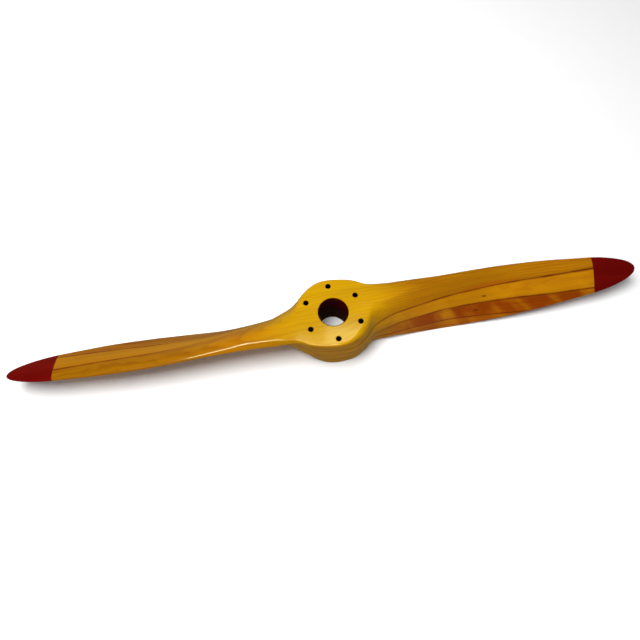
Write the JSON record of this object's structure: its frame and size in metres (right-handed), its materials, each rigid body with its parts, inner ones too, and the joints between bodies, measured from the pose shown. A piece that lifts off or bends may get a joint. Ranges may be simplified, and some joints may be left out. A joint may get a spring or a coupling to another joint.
{
  "type": "laminated wooden propeller",
  "caption": "Two-blade fixed-pitch wooden tractor propeller carved from glued boards, with a drilled hub, a plain shaft bore and red lacquered tips.",
  "frame": {"origin": "on the shaft axis at the hub's rear (engine side) face", "axes": "+Z forward along the shaft axis, away from the engine; +X out along one blade; +Y on that blade's leading-edge side"},
  "size_m": [1.1428, 0.1304, 0.079],
  "materials": {
    "rear_board_wood": "gloss varnish over figured wood",
    "second_board_wood": "gloss varnish over figured wood",
    "third_board_wood": "gloss varnish over straight-grained wood",
    "front_board_wood": "gloss varnish over straight-grained wood",
    "dark_glue": "satin, dark red-brown glue squeezed out and sanded flush",
    "maroon_sealer": "semi-gloss sealer",
    "red_tip_lacquer": "gloss lacquer"
  },
  "bodies": {
    "root": {"rear_board": "rear_board_wood", "second_board": "second_board_wood", "third_board": "third_board_wood", "front_board": "front_board_wood", "glue_line_1": "dark_glue", "glue_line_2": "dark_glue", "glue_line_3": "dark_glue", "bore_sealer_coat": "maroon_sealer", "red_tip_coat_a": "red_tip_lacquer", "red_tip_coat_b": "red_tip_lacquer"}
  },
  "joints": []
}
